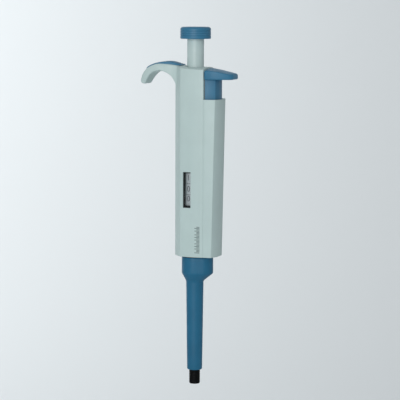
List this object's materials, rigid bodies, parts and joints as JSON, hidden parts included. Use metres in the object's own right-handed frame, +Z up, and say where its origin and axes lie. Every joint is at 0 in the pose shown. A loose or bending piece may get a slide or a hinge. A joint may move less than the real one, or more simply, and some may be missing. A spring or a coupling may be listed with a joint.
{
  "type": "adjustable micropipette",
  "caption": "Single-channel adjustable air-displacement pipette with a press plunger and volume dial, finger hook, window counter and side tip ejector.",
  "frame": {"origin": "centre of the nozzle's open end, where a disposable tip leaves", "axes": "+Z up the plunger axis to the knob, -X to the finger hook, +X to the tip ejector's thumb button, -Y out of the volume window"},
  "size_m": [0.0651, 0.0234, 0.24],
  "materials": {
    "body_plastic": "fine satin moulded",
    "rod_plastic": "smooth satin",
    "blue_plastic": "satin",
    "sleeve_plastic": "satin",
    "black_plastic": "satin",
    "clear_window": "polished",
    "drum_plastic": "matt, printed digits",
    "inner_plastic": "matt",
    "seal_rubber": "matt",
    "brass": "turned",
    "steel": "drawn and polished"
  },
  "bodies": {
    "root": {"handle_shell": "body_plastic", "front_cover": "body_plastic", "finger_hook": "body_plastic", "hook_inlay": "blue_plastic", "guide_bush": "inner_plastic", "window_lens": "clear_window", "counter_plate": "inner_plastic", "pinion_axle": "steel", "thrust_washer": "inner_plastic", "coupling_nut": "inner_plastic", "cylinder": "inner_plastic", "nozzle": "black_plastic", "piston_seal": "seal_rubber", "seal_ring": "seal_rubber", "seal_retainer": "inner_plastic", "spring_seat": "inner_plastic", "ejector_spring": "steel"},
    "dial": {"dial_sleeve": "inner_plastic", "blowout_spring": "steel"},
    "stop": {"stop_ring": "brass", "primary_spring": "steel"},
    "plunger": {"knob": "blue_plastic", "knob_cap": "blue_plastic", "plunger_rod": "rod_plastic", "driver_block": "inner_plastic", "operating_rod": "steel", "piston": "steel"},
    "nut": {"volume_nut": "brass"},
    "tens": {"tens_drum": "drum_plastic"},
    "hundreds": {"hundreds_drum": "drum_plastic"},
    "thousands": {"thousands_drum": "drum_plastic"},
    "pinion_low": {"carry_pinion_low": "inner_plastic"},
    "pinion_high": {"carry_pinion_high": "inner_plastic"},
    "ejector": {"ejector_button": "blue_plastic", "ejector_stem": "blue_plastic", "ejector_rod": "steel", "ejector_sleeve": "sleeve_plastic"}
  },
  "joints": [
    {"name": "dial_turn", "type": "hinge", "parent": "root", "child": "dial", "pos_m": [0, 0, 0.17], "axis": [0, 0, 1], "range_deg": [-3240, 0]},
    {"name": "blowout_press", "type": "slide", "parent": "dial", "child": "stop", "axis": [0, 0, -1], "range_m": [0, 0.002], "stiffness_N_per_m": 4000, "springref_m": -0.0025, "deforming": ["blowout_spring"]},
    {"name": "plunger_press", "type": "slide", "parent": "stop", "child": "plunger", "axis": [0, 0, -1], "range_m": [0, 0.014], "stiffness_N_per_m": 300, "springref_m": -0.01, "deforming": ["primary_spring"]},
    {"name": "nut_travel", "type": "slide", "parent": "root", "child": "nut", "axis": [0, 0, 1], "range_m": [-0.01265, 0.00005]},
    {"name": "tens_turn", "type": "hinge", "parent": "root", "child": "tens", "pos_m": [0, 0, 0.125], "axis": [0, 0, 1], "range_deg": [-3245, 5]},
    {"name": "hundreds_turn", "type": "hinge", "parent": "root", "child": "hundreds", "pos_m": [0, 0, 0.132], "axis": [0, 0, 1], "range_deg": [-324.5, 0.5]},
    {"name": "thousands_turn", "type": "hinge", "parent": "root", "child": "thousands", "pos_m": [0, 0, 0.14], "axis": [0, 0, 1], "range_deg": [-32.5, 0.5]},
    {"name": "pinion_low_turn", "type": "hinge", "parent": "root", "child": "pinion_low", "pos_m": [-0.00995, 0, 0.12885], "axis": [0, 0, 1], "range_deg": [-0.5, 1620.5]},
    {"name": "pinion_high_turn", "type": "hinge", "parent": "root", "child": "pinion_high", "pos_m": [-0.00995, 0, 0.13625], "axis": [0, 0, 1], "range_deg": [-0.5, 162.5]},
    {"name": "eject_press", "type": "slide", "parent": "root", "child": "ejector", "axis": [0, 0, -1], "range_m": [0, 0.008], "stiffness_N_per_m": 500, "springref_m": -0.01, "deforming": ["ejector_spring"]}
  ],
  "couplings": [
    {"joint": "tens_turn", "follows": "dial_turn", "ratio": 1},
    {"joint": "hundreds_turn", "follows": "dial_turn", "ratio": 0.1},
    {"joint": "thousands_turn", "follows": "dial_turn", "ratio": 0.01},
    {"joint": "pinion_low_turn", "follows": "dial_turn", "ratio": -0.5},
    {"joint": "pinion_high_turn", "follows": "dial_turn", "ratio": -0.05},
    {"joint": "nut_travel", "follows": "dial_turn", "m_per_rad": 0.00022282}
  ]
}
